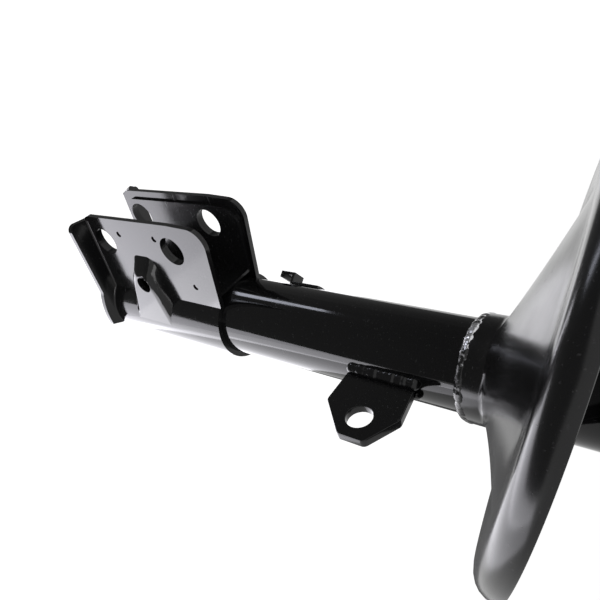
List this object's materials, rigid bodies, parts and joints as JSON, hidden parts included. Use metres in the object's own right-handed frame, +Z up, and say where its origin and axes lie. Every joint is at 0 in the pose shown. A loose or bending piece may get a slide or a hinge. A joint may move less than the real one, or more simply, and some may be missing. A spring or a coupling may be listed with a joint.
{
  "type": "suspension strut assembly",
  "caption": "Suspension strut with a two-eared knuckle bracket, a link plate, a tilted spring seat, a ribbed dust boot and a swivelling top mount, without its coil spring.",
  "frame": {"origin": "centre of the top mount's upper face, on the strut's axis", "axes": "+Z up the strut towards the car body, +X from the tube towards the free edges of the knuckle bracket's ears, +Y along the knuckle bolts towards the side with the link plate"},
  "size_m": [0.1965, 0.1844, 0.5676],
  "materials": {
    "tube_paint": "glossy black paint",
    "bracket_paint": "glossy black paint",
    "liner_paint": "glossy black paint, thinner in the channel",
    "seat_paint": "glossy black paint",
    "clip_paint": "glossy black paint",
    "painted_weld": "black paint over weld ripples",
    "weld_metal": "bare weld, partly painted",
    "pad_rubber": "matt rubber",
    "boot_rubber": "satin moulded rubber",
    "mount_rubber": "matt rubber",
    "seal_rubber": "smooth rubber",
    "bump_foam": "microcellular foam",
    "zinc_plate": "zinc plated",
    "rod_chrome": "ground and chromed",
    "cap_steel": "satin black paint",
    "plain_steel": "oiled steel",
    "sintered_steel": "sintered, dull grey",
    "piston_band": "smooth dark plastic",
    "bush_bronze": "bronze",
    "bearing_nylon": "moulded plastic",
    "cage_nylon": "natural nylon",
    "bearing_steel": "polished balls"
  },
  "bodies": {
    "top_mount": {"mount_plate": "zinc_plate", "mount_studs": "zinc_plate", "mount_rubber": "mount_rubber", "mount_core": "zinc_plate", "rod_washer": "zinc_plate", "rod_nut": "zinc_plate", "bump_washer": "zinc_plate", "piston_rod": "rod_chrome", "piston": "sintered_steel", "piston_ring": "piston_band", "valve_discs": "plain_steel", "piston_nut": "plain_steel", "rebound_collar": "plain_steel", "rebound_bumper": "seal_rubber", "upper_race": "bearing_nylon", "bump_stop": "bump_foam"},
    "spring_seat": {"lower_race": "bearing_nylon", "bearing_balls": "bearing_steel", "ball_cage": "cage_nylon", "upper_spring_seat": "seat_paint", "upper_spring_pad": "pad_rubber", "dust_boot": "boot_rubber"},
    "strut_tube": {"outer_tube": "tube_paint", "base_cap": "plain_steel", "base_valve": "sintered_steel", "pressure_tube": "plain_steel", "rod_guide": "sintered_steel", "guide_bush": "bush_bronze", "rod_seal": "seal_rubber", "tube_cap": "cap_steel", "lower_spring_seat": "seat_paint", "seat_weld": "weld_metal", "lower_spring_pad": "pad_rubber", "knuckle_bracket": "bracket_paint", "bracket_liner": "liner_paint", "bracket_weld": "painted_weld", "link_bracket": "bracket_paint", "link_welds": "painted_weld", "hose_clip": "clip_paint"}
  },
  "joints": [
    {"name": "swivel", "type": "hinge", "parent": "top_mount", "child": "spring_seat", "pos_m": [0, 0, -0.009], "axis": [0, 0, 1], "range_deg": [-40, 40]},
    {"name": "damper", "type": "slide", "parent": "spring_seat", "child": "strut_tube", "axis": [0, 0, 1], "range_m": [0, 0.14], "stiffness_N_per_m": 500, "springref_m": -0.3, "deforming": ["dust_boot", "bump_stop"]}
  ]
}
